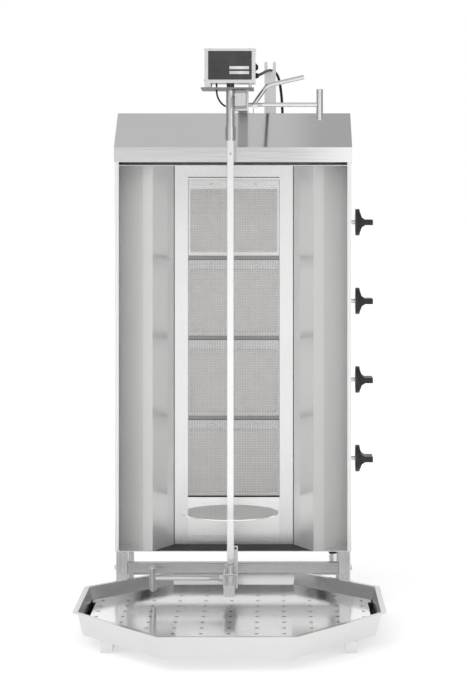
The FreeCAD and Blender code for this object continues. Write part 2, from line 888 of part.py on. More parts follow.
def make_carriage_sleeve():
    """The sleeve on the upper arm, with the block that carries the motor's plate."""
    y1 = carriage_front_y + carriage_length
    x0, x1, z0, z1 = sleeve_box(carriage_wall)
    outer = box(x0, x1, carriage_front_y, y1, z0, z1)
    block = box(x0, x1, carriage_front_y, y1, z1, plate_bottom_z)
    gusset = prism_x([(carriage_front_y, plate_bottom_z), (carriage_front_y, z1),
                      (plate_front_y + carriage_length, plate_bottom_z - carriage_wall),
                      (plate_front_y + carriage_length, plate_bottom_z)], x1 - carriage_wall, x1)
    a0, a1, b0, b1 = sleeve_box(0)
    inner = box(a0, a1, carriage_front_y - 1, y1 + 1, b0, b1)
    screw = rod_x(a1 - 1, x1 + 1, upper_clamp_y, upper_clamp_z, clamp_rod_radius + shaft_fit)
    return fused([outer, block, gusset]).cut(inner).cut(screw)


def lead_points():
    """The route of the motor's short lead, from under its housing to the sleeve."""
    x, y, z = skewer_x, skewer_y, plate_bottom_z
    end_x = sleeve_box(carriage_wall)[0]
    return [V(x - 31, y + 10, housing_bottom_z), V(x - 31.6, y + 11, z - 2.5),
            V(x - 28.5, y + 14.5, z - 17.5), V(x - 19.5, y + 22, z - 31),
            V(x - 7.5, y + 30.5, z - 37.5), V(end_x, y + 32, z - 37.5)]


def make_motor_plate():
    y1 = carriage_front_y + carriage_length
    plate = box(plate_left_x, plate_right_x, plate_front_y, y1, plate_bottom_z, plate_top_z)
    shaft = rod_z(plate_bottom_z - 1, plate_top_z + 1, skewer_x, skewer_y, drive_shaft_radius + shaft_fit)
    lead = lead_points()[0]
    slot = rod_z(plate_bottom_z - 1, plate_top_z + 1, lead.x, lead.y, lead_radius * 2.5)
    return plate.cut(shaft).cut(slot)


def housing_sides():
    return housing_left_x, housing_right_x, housing_front_y, housing_front_y + housing_depth


def make_motor_housing():
    """The open-topped box round the motor, on feet and a left skirt above the plate."""
    x0, x1, y0, y1 = housing_sides()
    w = housing_sheet
    shell = box(x0, x1, y0, y1, housing_bottom_z, housing_top_z)
    inside = box(x0 + w, x1 - w, y0 + w, y1 - w, housing_bottom_z + w, housing_top_z + 1)
    shell = shell.cut(inside)
    bush = rod_z(housing_bottom_z - 1, housing_bottom_z + w + 1, skewer_x, skewer_y, bush_radius)
    shell = shell.cut(bush)
    skirt = box(x0, x0 + foot_inset, y0, y0 + w, plate_top_z, housing_bottom_z)
    feet = [rod_z(plate_top_z, housing_bottom_z, x, y, bolt_radius)
            for x in (x0 + foot_inset, x1 - foot_inset) for y in (y0 + foot_inset, y1 - foot_inset)]
    return fused([shell, skirt] + feet)


def make_motor_lid():
    """The lid, a little wider than the housing, with its two screws."""
    x0, x1, y0, y1 = housing_sides()
    w = housing_sheet
    top = housing_top_z + lid_height
    skirt = box(x0 - w, x1 + w, y0 - w, y1 + w, housing_top_z - lid_lap, top)
    inside = box(x0, x1, y0, y1, housing_top_z - lid_lap - 1, housing_top_z)
    under = box(x0 + w, x1 - w, y0 + w, y1 - w, housing_top_z - 1, top - w)
    screws = [rod_z(top, top + w, x, y0 + foot_inset, bolt_radius)
              for x in (x0 + foot_inset, x1 - foot_inset)]
    return fused([skirt.cut(inside).cut(under)] + screws)


def make_motor_label():
    """The plain plate on the front of the housing."""
    x0, x1, y0, _ = housing_sides()
    z0 = housing_bottom_z + label_margin_z
    z1 = housing_top_z - lid_lap - label_gap
    plate = box(x0 + label_margin_x, x1 - label_margin_x, y0 - label_thickness, y0, z0, z1)
    corners = [e for e in plate.Edges if abs(e.Vertexes[0].Y - e.Vertexes[1].Y) > label_thickness / 2]
    return plate.makeFillet(label_corner, corners)


def make_gear_motor():
    """The gearbox and motor inside the housing, with the bush that stands on the plate."""
    floor = housing_bottom_z + housing_sheet
    bush = rod_z(plate_top_z, floor, skewer_x, skewer_y, bush_radius)
    half_x = gearbox_length / 2
    half_y = gearbox_width / 2
    gearbox = box(skewer_x - half_x, skewer_x + half_x, skewer_y - half_y, skewer_y + half_y,
                  floor, floor + gearbox_height)
    motor = rod_z(floor + gearbox_height, housing_top_z - housing_sheet, skewer_x, skewer_y, motor_radius)
    bore = rod_z(plate_top_z - 1, shaft_top_z() + moving_gap, skewer_x, skewer_y,
                 drive_shaft_radius + shaft_fit)
    return fused([bush, gearbox, motor]).cut(bore)


def shaft_top_z():
    return housing_bottom_z + housing_sheet + gearbox_height * 0.7


# Clamp screws, tee bars and the locking lever

def tee_bar(x, y, z, turn):
    """A round bar across the end of a clamp rod, turned from upright about X."""
    bar = rod_z(z - tee_length / 2, z + tee_length / 2, x, y, tee_radius)
    rims = [e for e in bar.Edges if e.Closed]
    bar = bar.makeFillet(tee_radius * 0.2, rims)
    bar.rotate(V(x, y, z), V(1, 0, 0), turn)
    return bar


def make_upper_clamp_screw():
    tip = arm_sides()[1] + moving_gap
    thread_end = upper_nut_end_x + upper_nut_length
    thread = tapped(tip, thread_end, upper_clamp_y, upper_clamp_z, clamp_rod_radius, thread_pitch)
    rod = rod_x(thread_end, upper_rod_end_x, upper_clamp_y, upper_clamp_z, clamp_rod_radius)
    tee = tee_bar(upper_rod_end_x + tee_radius - 1, upper_clamp_y, upper_clamp_z, 0)
    return fused([thread, rod, tee])


def make_lock_lever():
    """The lock nut on the clamp screw, with its bent tube lever and a short pin below."""
    y, z = upper_clamp_y, upper_clamp_z
    nut = hexagon_x(upper_nut_x, upper_nut_end_x, y, z, nut_across_flats)
    mid = (upper_nut_x + upper_nut_end_x) / 2
    corner = V(mid + lever_bend_out, y, z + lever_bend_up)
    end = V(mid + lever_reach, y, z + lever_rise)
    foot = V(mid, y, z + clamp_rod_radius)
    tube = tube_along([foot, corner, end], lever_radius, lever_bend_radius)
    away = (corner - end).normalize()
    bore = Part.makeCylinder(lever_radius - lever_wall, lever_open_length, end, away)
    pin = rod_z(z - lever_pin_length, z, mid - lever_radius + 1, y, lever_wall)
    hole = rod_x(upper_nut_x - 2 * lever_radius, upper_nut_end_x + 2 * lever_radius, y, z,
                 clamp_rod_radius + shaft_fit)
    return fused([nut, tube, pin]).cut(bore).cut(hole)


def make_lower_clamp_screw():
    tip = skewer_x - lower_arm_size / 2 - moving_gap
    nut_end = skewer_x - lower_sleeve_half - lower_nut_length
    thread_end = nut_end - 2 * lower_nut_length
    thread = tapped(thread_end, tip, lower_clamp_y, lower_clamp_z, clamp_rod_radius, thread_pitch)
    rod = rod_x(lower_clamp_end_x, thread_end, lower_clamp_y, lower_clamp_z, clamp_rod_radius)
    tee = tee_bar(lower_clamp_end_x - tee_radius + 1, lower_clamp_y, lower_clamp_z, lower_tee_angle)
    return fused([thread, rod, tee])


# Drive, skewer and disk

def make_drive_tube():
    """The tube down from the motor, with its shaft and a cross hole."""
    tube = rod_z(collar_top_z, plate_bottom_z - moving_gap, skewer_x, skewer_y, drive_tube_radius)
    shaft = rod_z(collar_top_z, shaft_top_z(), skewer_x, skewer_y, drive_shaft_radius)
    cross = rod_y(skewer_y - drive_tube_radius - 1, skewer_y + drive_tube_radius + 1, skewer_x,
                  plate_bottom_z - drive_tube_radius / 2, bolt_radius / 2)
    return fused([tube, shaft]).cut(cross)


def square_bar(z0, z1, size):
    half = size / 2
    return box(skewer_x - half, skewer_x + half, skewer_y - half, skewer_y + half, z0, z1)


def make_drive_collar():
    """The socket that the skewer's square top sits in, with a thinner lip below."""
    upper = rod_z(collar_bottom_z + collar_lip, collar_top_z, skewer_x, skewer_y, collar_radius)
    lip = rod_z(collar_bottom_z, collar_bottom_z + collar_lip, skewer_x, skewer_y, collar_radius - 0.6)
    socket = square_bar(collar_bottom_z - 1, collar_top_z - 1, skewer_size + 2 * socket_gap)
    return fused([upper, lip]).cut(socket)


def skewer_point_half():
    """Half the width of the blunt end of the skewer's point."""
    return skewer_size * 0.15


def make_skewer():
    """The square skewer, pointed below, with a cross hole near its top."""
    half = skewer_size / 2
    shoulder = skewer_tip_z + skewer_taper
    bar = square_bar(shoulder, skewer_top_z, skewer_size)
    bar = round_tube(bar, V(0, 0, 1), 1.0)
    point = skewer_point_half()
    corners = [V(skewer_x + a * half, skewer_y + b * half, shoulder)
               for a, b in ((-1, -1), (1, -1), (1, 1), (-1, 1))]
    tips = [V(skewer_x + a * point, skewer_y + b * point, skewer_tip_z)
            for a, b in ((-1, -1), (1, -1), (1, 1), (-1, 1))]
    rings = [Part.makePolygon(c + [c[0]]) for c in (corners, tips)]
    taper = Part.makeLoft(rings, True, True)
    hole = rod_y(skewer_y - skewer_size, skewer_y + skewer_size, skewer_x, skewer_hole_z, bolt_radius)
    return fused([bar, taper]).cut(hole)


def make_meat_disk():
    """The round plate that carries the meat, with a square hub under it."""
    plate = rod_z(disk_z, disk_z + disk_thickness, skewer_x, skewer_y, disk_radius)
    hub = square_bar(disk_z - disk_hub_height, disk_z, disk_hub)
    hole = square_bar(disk_z - disk_hub_height - 1, disk_z + disk_thickness + 1,
                      skewer_size + 2 * moving_gap)
    return fused([plate, hub]).cut(hole)


# Lower arm, its sleeve and the bearing cup

def make_lower_arm():
    half = lower_arm_size / 2
    return square_tube(skewer_x - half, skewer_x + half, lower_arm_front_y, leg_front_y,
                       crossbar_z, crossbar_z + lower_arm_size, V(0, 1, 0), ends_open=False)


def make_lower_sleeve():
    """The sleeve on the lower arm, with the clamp's nut and the upright stop bar."""
    y0 = lower_sleeve_front_y
    y1 = y0 + lower_sleeve_length
    half = lower_sleeve_half
    bottom = crossbar_z - slide_gap - lower_sleeve_wall
    outer = round_tube(box(skewer_x - half, skewer_x + half, y0, y1, bottom, lower_sleeve_top_z),
                       V(0, 1, 0), tube_wall)
    gap = lower_arm_size / 2 + slide_gap
    inner = box(skewer_x - gap, skewer_x + gap, y0 - 1, y1 + 1, crossbar_z - slide_gap,
                crossbar_z + lower_arm_size + slide_gap)
    nut = hexagon_x(skewer_x - half - lower_nut_length, skewer_x - half, lower_clamp_y, lower_clamp_z,
                    nut_across_flats)
    rear = skewer_y + cup_radius + upright_thickness
    upright = box(skewer_x + upright_thickness, skewer_x + upright_thickness + upright_width,
                  rear, rear + upright_thickness, lower_sleeve_top_z - tube_wall, upright_top_z)
    eye = rod_y(rear - 1, rear + upright_thickness + 1, skewer_x + upright_thickness + upright_width / 2,
                upright_top_z - upright_width / 2, bolt_radius)
    screw = rod_x(skewer_x - half - 2 * lower_nut_length, skewer_x - gap + 1, lower_clamp_y,
                  lower_clamp_z, clamp_rod_radius + shaft_fit)
    return fused([outer, nut, upright]).cut(inner).cut(eye).cut(screw)


def make_bearing_cup():
    """The cup that the skewer's point turns in, with a thin lip round its mouth."""
    top = lower_sleeve_top_z + cup_height
    body = rod_z(lower_sleeve_top_z, top - cup_lip, skewer_x, skewer_y, cup_radius - cup_lip / 2)
    lip = rod_z(top - cup_lip, top, skewer_x, skewer_y, cup_radius)
    seat_z = skewer_tip_z - moving_gap
    seat_radius = skewer_point_half() * math.sqrt(2) + 2 * moving_gap
    mouth = Part.makeCone(seat_radius, cup_mouth_radius, top - seat_z, V(skewer_x, skewer_y, seat_z))
    return fused([body, lip]).cut(mouth)


# Drip tray

def tray_plan():
    """The tray's wall in plan at its top, anticlockwise from the front left."""
    return [(-tray_front_half, tray_front_y), (tray_front_half, tray_front_y),
            (tray_half_width, tray_side_front_y), (tray_half_width, tray_side_rear_y),
            (tray_rear_half, tray_rear_y), (-tray_rear_half, tray_rear_y),
            (-tray_half_width, tray_side_rear_y), (-tray_half_width, tray_side_front_y)]


def tray_ring(inset, z):
    return [V(x, y, z) for x, y in offset_line(tray_plan(), inset, closed=True)]


def tray_inset(z):
    """How far the tray's outer wall lies inside its top edge at a height."""
    return tray_flare * (tray_top_z - z) / tray_height


def flared(z0, z1, inset):
    """A solid between two heights whose sides lean as the tray's wall does."""
    low = tray_ring(tray_inset(z0) + inset, z0)
    high = tray_ring(tray_inset(z1) + inset, z1)
    faces = [face_of(low), face_of(high)]
    for i in range(len(low)):
        faces.append(face_of([low[i - 1], low[i], high[i], high[i - 1]]))
    return Part.makeSolid(Part.makeShell(faces))


def make_tray_pan():
    outer = flared(tray_bottom_z, tray_top_z, 0)
    inner = flared(tray_bottom_z + sheet, tray_top_z + sheet, sheet)
    rim = prism_z(offset_line(tray_plan(), -tray_rim, closed=True), tray_top_z - sheet, tray_top_z)
    return fused([outer, rim]).cut(inner)


def insert_holes(top):
    """One drain hole at each place of the grid that lies well inside the edge."""
    edge = tray_inset(top) + sheet + insert_gap + insert_hole_edge
    plan = offset_line(tray_plan(), edge, closed=True)
    holes = []
    columns = int(tray_half_width / insert_hole_x)
    for row in range(insert_row_count):
        y = insert_first_row_y + row * insert_hole_y
        for column in range(-columns, columns + 1):
            x = column * insert_hole_x
            if inside(plan, x, y):
                holes.append(rod_z(top - 2 * sheet, top + 1, x, y, insert_hole_radius))
    return holes


def inside(plan, x, y):
    """Whether a point lies inside an anticlockwise convex outline."""
    for (x0, y0), (x1, y1) in zip(plan, plan[1:] + plan[:1]):
        if (x1 - x0) * (y - y0) - (y1 - y0) * (x - x0) < 0:
            return False
    return True


def make_tray_insert():
    """A perforated false floor, an upturned shallow pan with finger slots at its sides."""
    z0 = tray_bottom_z + sheet + moving_gap
    z1 = z0 + insert_height
    outer = flared(z0, z1, sheet + insert_gap)
    inner = flared(z0 - sheet, z1 - sheet, 2 * sheet + insert_gap)
    shell = outer.cut(inner)
    slot_x = tray_half_width - tray_inset(z1) - sheet - insert_gap - finger_depth
    for side in (-1, 1):
        x0 = slot_x if side > 0 else -tray_half_width
        x1 = tray_half_width if side > 0 else -slot_x
        shell = shell.cut(box(x0, x1, finger_front_y, finger_rear_y, z0 - 1, z1 + 1))
    return shell.cut(Part.makeCompound(insert_holes(z1)))


# Motor's cables

def cable_points():
    """The route of the motor's cable: out to the right, back over the fork, down to its gland."""
    x, y, z = housing_right_x, skewer_y, housing_bottom_z
    leaving = [V(x + 3.9, y + 14, z + 19), V(x + 10.9, y + 50, z + 24), V(x + 14.9, y + 100, z + 29)]
    x, y, z = fork_left_x + fork_width / 2, cabinet_depth, fork_notch_z
    over_fork = [V(x - 12.4, y - 195, z - 11.5), V(x - 7.4, y - 105, z - 4), V(x - 2.9, y - 40, z + 1.5),
                 V(x - 0.9, y - 13, z + 3.6), V(x + 0.9, y + 13, z + 4.4), V(x + 10.2, y + 26, z + 3),
                 V(x + 19.2, y + 36, z - 8), V(x + 23.7, y + 41, z - 28)]
    x, y, z = gland_x, gland_mouth_y, gland_mouth_z
    down = [V(x - 2, y + 3, z + 84), V(x, y + 3, z + 46), V(x, y + 0.5, z + 18), V(x, y, z)]
    return leaving + over_fork + down


def make_motor_cable():
    return tube_along(cable_points(), cable_radius, name="motor_cable")


def make_motor_lead():
    return tube_along(lead_points(), lead_radius, name="motor_lead")


def all_pieces():
    """Every piece by its name."""
    pieces = {
        "base_runners": make_runners(),
        "legs": make_legs(),
        "crossbars": make_crossbars(),
        "frame_bolts": group(make_frame_bolts().Solids + make_fork_bolts()),
        "cabinet_floor": make_floor().cut(rod_z(floor_z - 1, floor_z + sheet + 1, manifold_x,
                                                manifold_y, inlet_neck)),
        "side_panel_left": make_side(-1),
        "side_panel_right": make_side(1),
        "back_panel": make_back(),
        "hood": make_hood(),
        "inner_ceiling": make_ceiling(),
        "wing_left": make_wing(-1),
        "wing_right": make_wing(1),
        "burner_surround": make_surround(),
        "lower_reflector": make_reflector(),
        "burner_ceramics": make_ceramics(),
        "gas_manifold": make_manifold(),
        "gas_pipes": make_gas_pipes(),
        "valve_bodies": make_valve_bodies(),
        "gas_inlet": make_gas_inlet(),
        "switch_frame": make_switch_frame(),
        "switch_rocker": make_switch_rocker(),
        "cable_fork": make_cable_fork(),
        "cable_glands": make_cable_glands(),
        "upper_arm": make_upper_arm(),
        "lower_arm": make_lower_arm(),
        "carriage_sleeve": make_carriage_sleeve(),
        "motor_plate": make_motor_plate(),
        "motor_housing": make_motor_housing(),
        "motor_lid": make_motor_lid(),
        "motor_label": make_motor_label(),
        "gear_motor": make_gear_motor(),
        "upper_clamp_screw": make_upper_clamp_screw(),
        "lock_lever": make_lock_lever(),
        "drive_tube": make_drive_tube(),
        "drive_collar": make_drive_collar(),
        "skewer": make_skewer(),
        "meat_disk": make_meat_disk(),
        "lower_sleeve": make_lower_sleeve(),
        "bearing_cup": make_bearing_cup(),
        "lower_clamp_screw": make_lower_clamp_screw(),
        "tray_pan": make_tray_pan(),
        "tray_insert": make_tray_insert(),
        "motor_cable": make_motor_cable(),
        "motor_lead": make_motor_lead(),
    }
    for number, top in enumerate(burner_tops(), start=1):
        pieces["burner_housing_%d" % number] = make_burner_housing(top)
        pieces["burner_gauze_%d" % number] = make_gauze(top)
    for number, z in enumerate(reversed(tap_z), start=1):
        pieces["valve_stem_%d" % number] = make_stem(z)
        pieces["knob_%d" % number] = make_knob(z)
    return pieces


os.makedirs("parts", exist_ok=True)
for piece_name, piece in all_pieces().items():
    piece.translated(V(0, shift_y, 0)).exportStep("parts/%s.step" % piece_name)
print("shift_y", shift_y, "overall height", housing_top_z + lid_height + housing_sheet)
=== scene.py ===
import bpy
import bmesh
import json
import math
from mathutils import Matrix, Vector


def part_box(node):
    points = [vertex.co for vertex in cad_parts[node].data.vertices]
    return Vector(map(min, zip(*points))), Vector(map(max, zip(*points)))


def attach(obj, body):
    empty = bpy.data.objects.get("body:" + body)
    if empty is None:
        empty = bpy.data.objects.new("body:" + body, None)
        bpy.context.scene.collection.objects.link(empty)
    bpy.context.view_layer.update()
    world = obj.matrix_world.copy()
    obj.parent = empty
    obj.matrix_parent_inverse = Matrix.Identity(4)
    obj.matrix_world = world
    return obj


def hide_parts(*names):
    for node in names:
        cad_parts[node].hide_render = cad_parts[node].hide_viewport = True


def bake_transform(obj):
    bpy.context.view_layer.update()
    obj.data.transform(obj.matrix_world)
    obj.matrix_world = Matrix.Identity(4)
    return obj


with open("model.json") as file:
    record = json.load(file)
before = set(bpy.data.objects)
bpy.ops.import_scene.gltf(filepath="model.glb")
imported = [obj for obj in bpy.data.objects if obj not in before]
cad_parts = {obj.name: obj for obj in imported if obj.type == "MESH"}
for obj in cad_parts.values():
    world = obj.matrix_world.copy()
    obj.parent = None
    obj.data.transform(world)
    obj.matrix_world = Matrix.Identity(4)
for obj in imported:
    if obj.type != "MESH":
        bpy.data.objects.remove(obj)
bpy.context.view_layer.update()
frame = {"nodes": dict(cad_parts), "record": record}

MM = 0.001
FRONT_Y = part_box("cabinet_floor")[0].y
X_AXIS = Vector((1, 0, 0))
Y_AXIS = Vector((0, 1, 0))
Z_AXIS = Vector((0, 0, 1))


def at(x, y, z):
    """A point given in millimetres from the cabinet's front plane."""
    return Vector((x * MM, FRONT_Y + y * MM, z * MM))


# Camera, at the photograph's viewing angle

CAMERA_X = 95.0
CAMERA_DISTANCE = 4577.0
CAMERA_Z = 966.0
FOCAL_PIXELS = 2005.0
PHOTO_HEIGHT = 700
SENSOR_WIDTH = 36.0
SHIFT_X = -0.0588
SHIFT_Y = -0.2314
FAR_CLIP = 50


def make_camera():
    data = bpy.data.cameras.new("camera")
    data.sensor_width = SENSOR_WIDTH
    data.lens = SENSOR_WIDTH * FOCAL_PIXELS / PHOTO_HEIGHT
    data.shift_x = SHIFT_X
    data.shift_y = SHIFT_Y
    data.clip_end = FAR_CLIP
    camera = bpy.data.objects.new("camera", data)
    camera.location = at(CAMERA_X, -CAMERA_DISTANCE, CAMERA_Z)
    camera.rotation_euler = (math.radians(90), 0, 0)
    bpy.context.scene.collection.objects.link(camera)
    bpy.context.scene.camera = camera


make_camera()


# Mesh helpers

def new_object(name, verts, faces, material, smooth=False):
    mesh = bpy.data.meshes.new(name)
    mesh.from_pydata([tuple(v) for v in verts], [], faces)
    mesh.validate()
    shape = bmesh.new()
    shape.from_mesh(mesh)
    bmesh.ops.remove_doubles(shape, verts=shape.verts, dist=1e-7)
    bmesh.ops.recalc_face_normals(shape, faces=shape.faces)
    shape.to_mesh(mesh)
    shape.free()
    if smooth:
        mesh.polygons.foreach_set("use_smooth", [True] * len(mesh.polygons))
    mesh.materials.append(material)
    obj = bpy.data.objects.new(name, mesh)
    bpy.context.scene.collection.objects.link(obj)
    return obj


def joined(pieces):
    """One list of vertices and one of faces from several such pairs."""
    verts, faces = [], []
    for piece_verts, piece_faces in pieces:
        base = len(verts)
        verts.extend(piece_verts)
        faces.extend([tuple(base + i for i in face) for face in piece_faces])
    return verts, faces


def lathe(profile, centre, axis, segments=32):
    """A closed turned shape: profile is (radius, height) pairs along the axis, from axis to axis."""
    turn = Z_AXIS.rotation_difference(axis).to_matrix()
    verts, faces = [], []
    rings = []
    for radius, height in profile:
        if radius < 1e-9:
            rings.append([len(verts)])
            verts.append(centre + turn @ Vector((0, 0, height)))
            continue
        ring = []
        for i in range(segments):
            angle = 2 * math.pi * i / segments
            ring.append(len(verts))
            point = Vector((radius * math.cos(angle), radius * math.sin(angle), height))
            verts.append(centre + turn @ point)
        rings.append(ring)
    for low, high in zip(rings, rings[1:]):
        for i in range(segments):
            k = (i + 1) % segments
            if len(low) == 1 and len(high) == 1:
                continue
            if len(low) == 1:
                faces.append((low[0], high[i], high[k]))
            elif len(high) == 1:
                faces.append((low[i], low[k], high[0]))
            else:
                faces.append((low[i], low[k], high[k], high[i]))
    return verts, faces


def rounded_box(low, high, bevel):
    """A box with rounded edges, between two corners."""
    shape = bmesh.new()
    bmesh.ops.create_cube(shape, size=1.0)
    size = high - low
    middle = (high + low) / 2
    for vert in shape.verts:
        vert.co = Vector((vert.co.x * size.x, vert.co.y * size.y, vert.co.z * size.z)) + middle
    bmesh.ops.bevel(shape, geom=shape.edges[:], offset=bevel, segments=2, affect="EDGES",
                    profile=0.5)
    verts = [v.co.copy() for v in shape.verts]
    faces = [tuple(v.index for v in f.verts) for f in shape.faces]
    shape.free()
    return verts, faces


def sweep(path, radius, sides):
    """A closed round tube along a list of points, with a frame carried along it without twist."""
    count = len(path)
    tangents = []
    for i in range(count):
        tangents.append((path[min(i + 1, count - 1)] - path[max(i - 1, 0)]).normalized())
    side = tangents[0].orthogonal().normalized()
    verts, faces = [], []
    for i, point in enumerate(path):
        side = (side - tangents[i] * side.dot(tangents[i])).normalized()
        up = tangents[i].cross(side)
        for k in range(sides):
            angle = 2 * math.pi * k / sides
            verts.append(point + side * radius * math.cos(angle) + up * radius * math.sin(angle))
    for i in range(count - 1):
        for k in range(sides):
            n = (k + 1) % sides
            faces.append((i * sides + k, i * sides + n, (i + 1) * sides + n, (i + 1) * sides + k))
    faces.append(tuple(range(sides))[::-1])
    faces.append(tuple((count - 1) * sides + k for k in range(sides)))
    return verts, faces


def spline_points(name, points):
    """Points read from a smooth NURBS line that has the given control points."""
    curve = bpy.data.curves.new(name, "CURVE")
    curve.dimensions = "3D"
    spline = curve.splines.new("NURBS")
    spline.points.add(len(points) - 1)
    for target, point in zip(spline.points, points):
        target.co = (*point, 1.0)
    spline.order_u = 3
    spline.use_endpoint_u = True
    spline.resolution_u = 12
    holder = bpy.data.objects.new(name, curve)
    bpy.context.scene.collection.objects.link(holder)
    bpy.context.view_layer.update()
    line = bpy.data.meshes.new_from_object(holder)
    read = [v.co.copy() for v in line.vertices]
    bpy.data.objects.remove(holder)
    bpy.data.curves.remove(curve)
    bpy.data.meshes.remove(line)
    return read


# Materials

NOISE_LOW = 0.3
NOISE_HIGH = 0.7
EVEN = (1, 1, 1)
GRAIN_ALONG = 8
GRAIN_ACROSS = 900
STEEL_WARMTH = 0.003


def new_material(name):
    material = bpy.data.materials.new(name)
    material.use_nodes = True
    nodes = material.node_tree.nodes
    return material, nodes, material.node_tree.links, nodes["Principled BSDF"]


def object_coordinates(nodes, links, scale):
    """Object coordinates, stretched by a scale along each axis."""
    coordinates = nodes.new("ShaderNodeTexCoord")
    mapping = nodes.new("ShaderNodeMapping")
    mapping.inputs["Scale"].default_value = scale
    links.new(coordinates.outputs["Object"], mapping.inputs["Vector"])
    return mapping.outputs["Vector"]


def noise(nodes, links, vector, scale, detail, roughness=0.5):
    texture = nodes.new("ShaderNodeTexNoise")
    texture.inputs["Scale"].default_value = scale
    texture.inputs["Detail"].default_value = detail
    texture.inputs["Roughness"].default_value = roughness
    links.new(vector, texture.inputs["Vector"])
    return texture.outputs["Fac"]


def ramp(nodes, links, factor, low, high, start=NOISE_LOW, end=NOISE_HIGH):
    """Two colours along a factor."""
    colours = nodes.new("ShaderNodeValToRGB")
    colours.color_ramp.elements[0].position = start
    colours.color_ramp.elements[1].position = end
    colours.color_ramp.elements[0].color = (*low, 1)
    colours.color_ramp.elements[1].color = (*high, 1)
    links.new(factor, colours.inputs["Fac"])
    return colours.outputs["Color"]


def spread(nodes, links, factor, low, high):
    """A factor from 0 to 1 stretched over a range."""
    mapped = nodes.new("ShaderNodeMapRange")
    mapped.inputs["From Min"].default_value = NOISE_LOW
    mapped.inputs["From Max"].default_value = NOISE_HIGH
    mapped.inputs["To Min"].default_value = low
    mapped.inputs["To Max"].default_value = high
    links.new(factor, mapped.inputs["Value"])
    return mapped.outputs["Result"]


def bump(nodes, links, shader, height, strength, distance):
    node = nodes.new("ShaderNodeBump")
    node.inputs["Strength"].default_value = strength
    node.inputs["Distance"].default_value = distance
    links.new(height, node.inputs["Height"])
    links.new(node.outputs["Normal"], shader.inputs["Normal"])


def grey(level, warmth=0.0):
    return (level * (1 + warmth), level, level * (1 - warmth))


def brushed(name, level, rough, grain, contrast=0.06, metallic=1.0):
    """Brushed stainless steel, with its fine lines along one axis and faint clouding."""
    material, nodes, links, shader = new_material(name)
    fine = [GRAIN_ALONG if axis == grain else GRAIN_ACROSS for axis in "xyz"]
    lines = noise(nodes, links, object_coordinates(nodes, links, fine), 1.0, 3.0)
    clouds = noise(nodes, links, object_coordinates(nodes, links, EVEN), 6.0, 4.0)
    mix = nodes.new("ShaderNodeMix")
    mix.inputs["Factor"].default_value = 0.5
    links.new(lines, mix.inputs["A"])
    links.new(clouds, mix.inputs["B"])
    colour = ramp(nodes, links, mix.outputs["Result"], grey(level - contrast, STEEL_WARMTH),
                  grey(level + contrast, STEEL_WARMTH))
    links.new(colour, shader.inputs["Base Color"])
    links.new(spread(nodes, links, lines, rough - 0.05, rough + 0.07), shader.inputs["Roughness"])
    shader.inputs["Metallic"].default_value = metallic
    bump(nodes, links, shader, lines, 0.12, 0.0002)
    return material


def plastic(name, colour, rough, grain_size=900.0, strength=0.15):
    """Moulded plastic with a fine spark-eroded grain."""
    material, nodes, links, shader = new_material(name)
    grain = noise(nodes, links, object_coordinates(nodes, links, EVEN), grain_size, 2.0)
    clouds = noise(nodes, links, object_coordinates(nodes, links, EVEN), 40.0, 3.0)
    low = tuple(c * 0.8 for c in colour)
    high = tuple(c * 1.2 for c in colour)
    links.new(ramp(nodes, links, clouds, low, high), shader.inputs["Base Color"])
    links.new(spread(nodes, links, grain, rough - 0.06, rough + 0.08), shader.inputs["Roughness"])
    bump(nodes, links, shader, grain, strength, 0.0001)
    return material


def soft_metal(name, low, high, rough):
    """Brass, copper or cast metal with a mottled tone."""
    material, nodes, links, shader = new_material(name)
    mottle = noise(nodes, links, object_coordinates(nodes, links, EVEN), 60.0, 5.0, 0.6)
    links.new(ramp(nodes, links, mottle, low, high), shader.inputs["Base Color"])
    links.new(spread(nodes, links, mottle, rough - 0.08, rough + 0.1), shader.inputs["Roughness"])
    shader.inputs["Metallic"].default_value = 1.0
    bump(nodes, links, shader, mottle, 0.2, 0.0002)
    return material


def ceramic():
    """Grey burner ceramic, pierced by rows of tiny holes that are dark dots of painted shade, with a bump.
    """
    material, nodes, links, shader = new_material("ceramic")
    pattern = nodes.new("ShaderNodeTexVoronoi")
    pattern.inputs["Scale"].default_value = 420.0
    pattern.inputs["Randomness"].default_value = 0.15
    links.new(object_coordinates(nodes, links, EVEN), pattern.inputs["Vector"])
    colour = ramp(nodes, links, pattern.outputs["Distance"], grey(0.34, 0.01), grey(0.76, 0.01),
                  0.15, 0.4)
    links.new(colour, shader.inputs["Base Color"])
    shader.inputs["Roughness"].default_value = 0.85
    bump(nodes, links, shader, pattern.outputs["Distance"], 0.6, 0.001)
    return material
